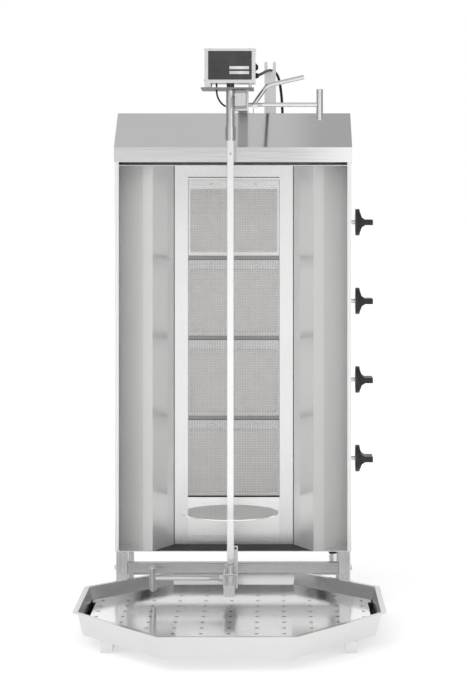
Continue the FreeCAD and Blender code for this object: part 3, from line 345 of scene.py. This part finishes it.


# The steel levels are set part by part to how bright each part looks: lit and shaded copies of one steel,
# painted light and shade.
MATERIALS = {
    "brushed_steel": brushed("brushed_steel", 0.76, 0.30, "z"),
    "brushed_steel_x": brushed("brushed_steel_x", 0.76, 0.30, "x"),
    "hood_steel": brushed("hood_steel", 0.84, 0.11, "x", contrast=0.02),
    "wing_steel": brushed("wing_steel", 0.97, 0.18, "z", contrast=0.02, metallic=0.5),
    "tray_steel": brushed("tray_steel", 0.93, 0.12, "x", contrast=0.03),
    "polished_steel": brushed("polished_steel", 0.90, 0.09, "x", contrast=0.02),
    "bright_steel": brushed("bright_steel", 0.91, 0.28, "z", contrast=0.03),
    "side_steel": brushed("side_steel", 0.93, 0.30, "z", contrast=0.02, metallic=0.4),
    # Painted shade: the tray pan is a darker copy of the tray's steel, for its shaded outer faces.
    "shaded_pan_steel": brushed("shaded_pan_steel", 0.72, 0.20, "x", contrast=0.03),
    "surround_steel": brushed("surround_steel", 0.80, 0.30, "z", contrast=0.04),
    "leg_steel": brushed("leg_steel", 0.66, 0.26, "z", contrast=0.04),
    "bar_steel": brushed("bar_steel", 0.50, 0.24, "x", contrast=0.04),
    "bright_steel_x": brushed("bright_steel_x", 0.88, 0.28, "x", contrast=0.03),
    # Dark raw steel of the motor plate; the same dark steel is painted shade on the strips in the burner
    # gaps.
    "raw_steel_and_gap_shade": brushed("raw_steel_and_gap_shade", 0.30, 0.40, "x", contrast=0.05),
    "tee_steel": brushed("tee_steel", 0.84, 0.34, "z", contrast=0.03),
    "turned_steel": brushed("turned_steel", 0.74, 0.20, "z"),
    "burner_steel": brushed("burner_steel", 0.78, 0.34, "x"),
    # Darker steel on the three lower burner housings, each under another burner.
    "lower_housing_steel": brushed("lower_housing_steel", 0.52, 0.36, "x"),
    "wire_gauze": soft_metal("wire_gauze", grey(0.84, 0.01), grey(0.97, 0.01), 0.36),
    "ceramic": ceramic(),
    "brass": soft_metal("brass", (0.62, 0.42, 0.16), (0.80, 0.60, 0.30), 0.35),
    "copper": soft_metal("copper", (0.55, 0.24, 0.13), (0.78, 0.42, 0.28), 0.35),
    "black_plastic": plastic("black_plastic", (0.018, 0.018, 0.019), 0.42),
    "grey_plastic": plastic("grey_plastic", (0.42, 0.42, 0.42), 0.45),
    "label_plate": plastic("label_plate", (0.055, 0.055, 0.057), 0.35, 400.0),
    "label_field": plastic("label_field", (0.84, 0.84, 0.82), 0.5, 400.0),
    "cast_motor": soft_metal("cast_motor", grey(0.18), grey(0.30), 0.55),
    "cable_rubber": plastic("cable_rubber", (0.009, 0.009, 0.010), 0.6, 600.0, 0.3),
    "black_rubber": plastic("black_rubber", (0.012, 0.012, 0.012), 0.6, 500.0, 0.3),
    # Near-black painted shade for the floor sheet between the wings.
    "painted_floor_shade": plastic("painted_floor_shade", (0.045, 0.045, 0.045), 0.8),
}
FINISHES = {
    "hood": "hood_steel",
    "motor_housing": "bright_steel_x",
    "motor_lid": "bright_steel_x",
    "lower_reflector": "bright_steel_x",
    "cabinet_floor": "bright_steel_x",
    "inner_ceiling": "brushed_steel_x",
    "wing_left": "wing_steel",
    "wing_right": "wing_steel",
    "side_panel_left": "side_steel",
    "side_panel_right": "side_steel",
    "legs": "leg_steel",
    "crossbars": "bar_steel",
    "tray_pan": "shaded_pan_steel",
    "tray_insert": "tray_steel",
    "meat_disk": "polished_steel",
    "burner_surround": "surround_steel",
    "burner_housing_2": "lower_housing_steel",
    "burner_housing_3": "lower_housing_steel",
    "burner_housing_4": "lower_housing_steel",
    "gas_inlet": "turned_steel",
    "motor_plate": "raw_steel_and_gap_shade",
    "skewer": "bright_steel",
    "upper_clamp_screw": "tee_steel",
    "lower_clamp_screw": "tee_steel",
}


def dress_nodes():
    """A material for every node: its own finish, or the one its slot is named after."""
    for part in frame["record"]["subparts"]:
        name = part["node"]
        mesh = frame["nodes"][name].data
        mesh.materials.clear()
        mesh.materials.append(MATERIALS[FINISHES.get(name, part["material_slot"])])


dress_nodes()


# Cables, on the CAD's own routes

CABLE_RADIUS = 3.25
CABLE_SIDES = 16
LEAD_RADIUS = 2.0
LEAD_SIDES = 12
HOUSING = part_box("motor_housing")
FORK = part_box("cable_fork")
NOTCH_DEPTH = 25.0
FOOT_DEPTH = 0.0098


def offsets(origin, steps):
    return [origin + Vector(step) * MM for step in steps]


def cable_route():
    """The motor cable's control points: from the housing, over the fork, down to the gland."""
    lid_x = HOUSING[1].x
    spin_y = (HOUSING[0].y + HOUSING[1].y) / 2
    leaving = offsets(Vector((lid_x, spin_y, HOUSING[0].z + FOOT_DEPTH)),
                      [(3.9, 14, 19), (10.9, 50, 24), (14.9, 100, 29)])
    fork_x = (FORK[0].x + FORK[1].x) / 2
    fork = Vector((fork_x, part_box("back_panel")[1].y, FORK[1].z - NOTCH_DEPTH * MM))
    over = offsets(fork, [(-12.4, -195, -11.5), (-7.4, -105, -4), (-2.9, -40, 1.5), (-0.9, -13, 3.6),
                          (0.9, 13, 4.4), (10.2, 26, 3), (19.2, 36, -8), (23.7, 41, -28)])
    gland = at(114, 285, 1104)
    down = offsets(gland, [(-2, 3, 84), (0, 3, 46), (0, 0.5, 18), (0, 0, 0)])
    return leaving + over + down


def lead_route():
    """The short lead's control points, from the housing's underside to the sleeve's side."""
    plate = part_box("motor_plate")[0].z
    start = Vector((at(-3, 0, 0).x, at(0, -130, 0).y, plate))
    steps = [(-31, 10, 13.5), (-31.6, 11, -2.5), (-28.5, 14.5, -17.5), (-19.5, 22, -31), (-7.5, 30.5, -37.5)]
    points = offsets(start, steps)
    points.append(Vector((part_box("carriage_sleeve")[0].x, start.y + 0.032, plate - 0.0375)))
    return points


def make_cables():
    path = spline_points("cable_line", cable_route())
    verts, faces = sweep(path, CABLE_RADIUS * MM, CABLE_SIDES)
    cable = new_object("motor_cable_tube", verts, faces, MATERIALS["cable_rubber"], smooth=True)
    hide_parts("motor_cable")
    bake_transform(cable)
    path = spline_points("lead_line", lead_route())
    verts, faces = sweep(path, LEAD_RADIUS * MM, LEAD_SIDES)
    lead = new_object("motor_lead_tube", verts, faces, MATERIALS["cable_rubber"], smooth=True)
    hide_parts("motor_lead")
    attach(lead, "upper_carriage")


make_cables()


# Burner gauzes, woven from fine wire in front of the ceramic

WEAVE_PITCH = 0.0059
WEAVE_WIRE = 0.0006
WIRE_SIDES = 5
POINTS_PER_WAVE = 4


def woven_wire(start, along, length, across, wave, phase):
    """One wire that weaves over and under its crossings, which lie half a wave apart."""
    count = int(length / wave * POINTS_PER_WAVE)
    path = []
    for i in range(count + 1):
        travel = length * i / count
        lift = WEAVE_WIRE * math.cos(math.pi * travel / wave + phase)
        path.append(start + along * travel + across * lift)
    return sweep(path, WEAVE_WIRE, WIRE_SIDES)


def make_gauze(number):
    node = "burner_gauze_%d" % number
    low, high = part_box(node)
    y = (low.y + high.y) / 2
    columns = round((high.x - low.x) / WEAVE_PITCH)
    rows = round((high.z - low.z) / WEAVE_PITCH)
    step_x = (high.x - low.x) / columns
    step_z = (high.z - low.z) / rows
    wires = []
    for k in range(rows + 1):
        start = Vector((low.x, y, low.z + step_z * k))
        wires.append(woven_wire(start, X_AXIS, high.x - low.x, Y_AXIS, step_x, math.pi * k))
    for i in range(columns + 1):
        start = Vector((low.x + step_x * i, y, low.z))
        wires.append(woven_wire(start, Z_AXIS, high.z - low.z, Y_AXIS, step_z, math.pi * (i + 1)))
    verts, faces = joined(wires)
    gauze = new_object("woven_" + node, verts, faces, MATERIALS["wire_gauze"], smooth=True)
    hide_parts(node)
    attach(gauze, "root")


for number in (1, 2, 3, 4):
    make_gauze(number)


# Small parts

CAP_SHARE = 0.45
CAP_HALF_HEIGHT = 0.0056
CAP_DEPTH = 0.0006
CAP_RISE = 0.0007
FIELD_X = (-4.5, 38.7)
FIELD_ROWS = ((1227.3, 1234.0), (1216.6, 1223.2))
FIELD_DEPTH = 0.0002
FIELD_RISE = 0.0003
BOOT_Y = -110
BOOT_Z = 1.235
GROMMET_AIM = Vector((1, 0.25, 0.12)).normalized()
LIP_SCREW_X = (-53.0, 52.0)
LIP_SCREW_DROP = 0.0100
SIDE_SCREW_Y = -150
SIDE_SCREW_Z = 1.2035
SHEET = 1.5
# Plan and rises of the floor sheet of painted shade between the wings.
SHADE_SHEET_FRONT = (183.5, 1.5)
SHADE_SHEET_MIDDLE = (152.5, 56.5)
SHADE_SHEET_REAR = (138.5, 85.5)
SHADE_SHEET_RISES = (0.05, 0.4)
RING_RISE = 0.020


def add(name, shape, slot, body, smooth=False, material=None):
    """A small part in a slot's finish, moving with a body."""
    obj = new_object(name, shape[0], shape[1], MATERIALS[material or slot], smooth)
    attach(obj, body)
    return obj


def screw_head(centre, axis, radius, height):
    """A low pan head with a round recess, resting at centre and facing along axis."""
    profile = [(0, 0), (radius, 0), (radius, height * 0.45), (radius * 0.82, height * 0.85),
               (radius * 0.5, height), (radius * 0.42, height * 0.6), (0, height * 0.6)]
    return lathe(profile, centre, axis, 20)


def make_knob_caps():
    for i in (1, 2, 3, 4):
        low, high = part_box("knob_%d" % i)
        centre = Vector((high.x, (low.y + high.y) / 2, (low.z + high.z) / 2))
        half = (high.y - low.y) * CAP_SHARE
        cap = rounded_box(centre - Vector((CAP_DEPTH, half, CAP_HALF_HEIGHT)),
                          centre + Vector((CAP_RISE, half, CAP_HALF_HEIGHT)), 0.0005)
        add("knob_cap_%d" % i, cap, "black_plastic", "knob_%d" % i,
            material="grey_plastic")


def make_label_fields():
    """Two plain light fields on the motor's plate."""
    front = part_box("motor_label")[0].y
    for k, (base, top) in enumerate(FIELD_ROWS):
        a = Vector((at(FIELD_X[0], 0, 0).x, front - FIELD_DEPTH, base * MM))
        b = Vector((at(FIELD_X[1], 0, 0).x, front + FIELD_RISE, top * MM))
        add("label_field_%d" % (k + 1), rounded_box(a, b, 0.0002), "label_plate", "upper_carriage",
            material="label_field")


def make_cable_boot():
    """The stepped rubber boot on the housing's right side, and the cable's grommet."""
    centre = Vector((HOUSING[1].x - 0.0006, at(0, BOOT_Y, 0).y, BOOT_Z))
    profile = [(0, 0), (0.0092, 0), (0.0092, 0.0014), (0.0078, 0.0018), (0.0074, 0.0030), (0.0064, 0.0034),
               (0.0058, 0.0048), (0.0046, 0.0055), (0.0040, 0.0066), (0, 0.0066)]
    add("cable_boot", lathe(profile, centre, X_AXIS, 28), "cable_rubber", "upper_carriage", True,
        material="black_rubber")
    ring = [(0, -0.0045), (0.0062, -0.0045), (0.0062, -0.001), (0.0054, 0.0012), (0.0042, 0.0026),
            (0, 0.0026)]
    add("cable_grommet", lathe(ring, cable_route()[0], GROMMET_AIM, 24), "cable_rubber",
        "upper_carriage", True, material="black_rubber")


def make_screws():
    """Screws on the burners' lips and on the housing's left side."""
    for i in (1, 2, 3, 4):
        low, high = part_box("burner_gauze_%d" % i)
        for x in LIP_SCREW_X:
            centre = Vector((at(x, 0, 0).x, low.y, high.z - LIP_SCREW_DROP))
            add("burner_screw_%d_%d" % (i, x > 0), screw_head(centre, -Y_AXIS, 0.0030, 0.0016),
                "turned_steel", "root", True)
    side = Vector((HOUSING[0].x, at(0, SIDE_SCREW_Y, 0).y, SIDE_SCREW_Z))
    add("housing_side_screw", screw_head(side, -X_AXIS, 0.0032, 0.0020), "turned_steel",
        "upper_carriage", True)


def make_floor_shade_sheet():
    """A dark sheet on the floor between the wings: painted shade where the floor looks dark."""
    right = [SHADE_SHEET_FRONT, SHADE_SHEET_MIDDLE, SHADE_SHEET_REAR]
    left = [(-x, y) for x, y in right]
    plan = [left[0]] + right + [left[2], left[1]]
    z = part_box("cabinet_floor")[0].z / MM + SHEET
    verts = [at(x, y, z + rise) for rise in SHADE_SHEET_RISES for x, y in plan]
    count = len(plan)
    faces = [tuple(range(count))[::-1], tuple(range(count, 2 * count))]
    faces += [(i, (i + 1) % count, count + (i + 1) % count, count + i) for i in range(count)]
    add("floor_shade_sheet", (verts, faces), "brushed_steel", "root", material="painted_floor_shade")


def make_gap_shade_strips():
    """Dark strips in the gaps between the burners: painted shade in the recesses."""
    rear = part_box("burner_surround")[1].y - SHEET * MM
    for i in (2, 3, 4):
        start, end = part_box("burner_housing_%d" % i)
        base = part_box("burner_housing_%d" % (i - 1))[0].z
        low = Vector((start.x, rear - 0.0007, end.z + 0.0005))
        high = Vector((end.x, rear - 0.0001, base - 0.0005))
        add("gap_shade_strip_%d" % (i - 1), rounded_box(low, high, 0.0002), "brushed_steel", "root",
            material="raw_steel_and_gap_shade")


def make_inlet_ring():
    """The rubber ring on the gas nozzle's neck."""
    low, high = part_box("gas_inlet")
    centre = Vector(((low.x + high.x) / 2, (low.y + high.y) / 2, low.z + RING_RISE))
    ring = [(0.0061, 0), (0.0092, 0), (0.0099, 0.0010), (0.0099, 0.0070), (0.0090, 0.0082),
            (0.0061, 0.0082)]
    verts, faces = lathe(ring, centre, Z_AXIS, 28)
    add("inlet_ring", (verts, faces), "black_plastic", "root", True, material="black_rubber")


make_knob_caps()
make_label_fields()
make_cable_boot()
make_screws()
make_floor_shade_sheet()
make_gap_shade_strips()
make_inlet_ring()


# Floor, world and lamps

FLOOR_HALF = 60.0
FLOOR_GLOW = 0.42
WORLD_LEVEL = 0.62
CEILING_Z = 2.6
SUN_SPREAD = 70
SUN_ENERGY = 0.9
SUN_TILT = 48
SUN_TURN = -28


def seen_ray(nodes, links):
    """1 for rays of the camera, of mirrors and of glass, and 0 for the light itself."""
    path = nodes.new("ShaderNodeLightPath")
    total = path.outputs["Is Camera Ray"]
    for kind in ("Is Glossy Ray", "Is Transmission Ray"):
        either = nodes.new("ShaderNodeMath")
        either.operation = "MAXIMUM"
        links.new(total, either.inputs[0])
        links.new(path.outputs[kind], either.inputs[1])
        total = either.outputs[0]
    return total


def make_floor():
    """A white floor that runs to the horizon and takes a soft shadow."""
    verts = [(-FLOOR_HALF, -FLOOR_HALF, 0), (FLOOR_HALF, -FLOOR_HALF, 0), (FLOOR_HALF, FLOOR_HALF, 0),
             (-FLOOR_HALF, FLOOR_HALF, 0)]
    material, nodes, links, shader = new_material("floor")
    mottle = noise(nodes, links, object_coordinates(nodes, links, EVEN), 3.0, 3.0)
    links.new(ramp(nodes, links, mottle, grey(0.83), grey(0.85)), shader.inputs["Base Color"])
    shader.inputs["Roughness"].default_value = 0.9
    shader.inputs["Emission Color"].default_value = (1, 1, 1, 1)
    glow = nodes.new("ShaderNodeMath")
    glow.operation = "MULTIPLY"
    links.new(seen_ray(nodes, links), glow.inputs[0])
    glow.inputs[1].default_value = FLOOR_GLOW
    links.new(glow.outputs[0], shader.inputs["Emission Strength"])
    new_object("studio_floor", verts, [(0, 1, 2, 3)], material)


def make_world():
    """A plain white background for the camera, mirrors and glass, and a soft grey light elsewhere."""
    world = bpy.data.worlds.new("studio")
    bpy.context.scene.world = world
    world.use_nodes = True
    nodes, links = world.node_tree.nodes, world.node_tree.links
    soft = nodes["Background"]
    soft.inputs["Color"].default_value = (1, 1, 1, 1)
    soft.inputs["Strength"].default_value = WORLD_LEVEL
    white = nodes.new("ShaderNodeBackground")
    white.inputs["Color"].default_value = (1, 1, 1, 1)
    white.inputs["Strength"].default_value = 1.0
    mix = nodes.new("ShaderNodeMixShader")
    links.new(seen_ray(nodes, links), mix.inputs["Fac"])
    links.new(soft.outputs[0], mix.inputs[1])
    links.new(white.outputs[0], mix.inputs[2])
    links.new(mix.outputs[0], nodes["World Output"].inputs["Surface"])


def make_card(name, corners, left, right, start, end):
    """A studio card that only metal reflects, going from one level to another between two x."""
    material = bpy.data.materials.new(name)
    material.use_nodes = True
    nodes, links = material.node_tree.nodes, material.node_tree.links
    nodes.remove(nodes["Principled BSDF"])
    glow = nodes.new("ShaderNodeEmission")
    coordinates = nodes.new("ShaderNodeTexCoord")
    axes = nodes.new("ShaderNodeSeparateXYZ")
    links.new(coordinates.outputs["Object"], axes.inputs[0])
    across = nodes.new("ShaderNodeMapRange")
    across.inputs["From Min"].default_value = start
    across.inputs["From Max"].default_value = end
    across.inputs["To Min"].default_value = left
    across.inputs["To Max"].default_value = right
    links.new(axes.outputs["X"], across.inputs["Value"])
    links.new(across.outputs["Result"], glow.inputs["Strength"])
    links.new(glow.outputs[0], nodes["Material Output"].inputs["Surface"])
    card = new_object(name, corners, [(0, 1, 2, 3)], material)
    card.visible_camera = False
    card.visible_diffuse = False
    card.visible_transmission = False
    card.visible_shadow = False


def make_plain_card(name, a, b, top, level):
    """An upright card of one level, from the floor up, between two points of the plan."""
    make_card(name, [(*a, 0), (*b, 0), (*b, top), (*a, top)], level, level, 0, 1)


def make_sun():
    data = bpy.data.lights.new("sun", "SUN")
    data.energy = SUN_ENERGY
    data.angle = math.radians(SUN_SPREAD)
    sun = bpy.data.objects.new("sun", data)
    sun.rotation_euler = (math.radians(SUN_TILT), 0, math.radians(SUN_TURN))
    sun.visible_glossy = False
    bpy.context.scene.collection.objects.link(sun)


make_floor()
make_world()
make_card("ceiling_card", [(-2.2, -1.2, CEILING_Z), (2.2, -1.2, CEILING_Z), (2.2, 2.8, CEILING_Z),
                           (-2.2, 2.8, CEILING_Z)], 0.575, 0.43, 0.14, 0.22)
make_plain_card("rear_card", (-2.0, 1.8), (2.0, 1.8), 0.39, 0.52)
make_card("front_card", [(-1.6, -2.0, 1.02), (1.6, -2.0, 1.02), (1.6, -2.0, CEILING_Z),
                         (-1.6, -2.0, CEILING_Z)], 0.66, 1.10, 0.16, 0.34)
make_plain_card("left_card", (-1.5, -1.4), (-1.5, 1.6), 2.2, 0.32)
make_plain_card("right_card", (1.5, -1.4), (1.5, 1.6), 2.2, 0.32)
make_sun()
bpy.context.scene.view_settings.view_transform = "Standard"
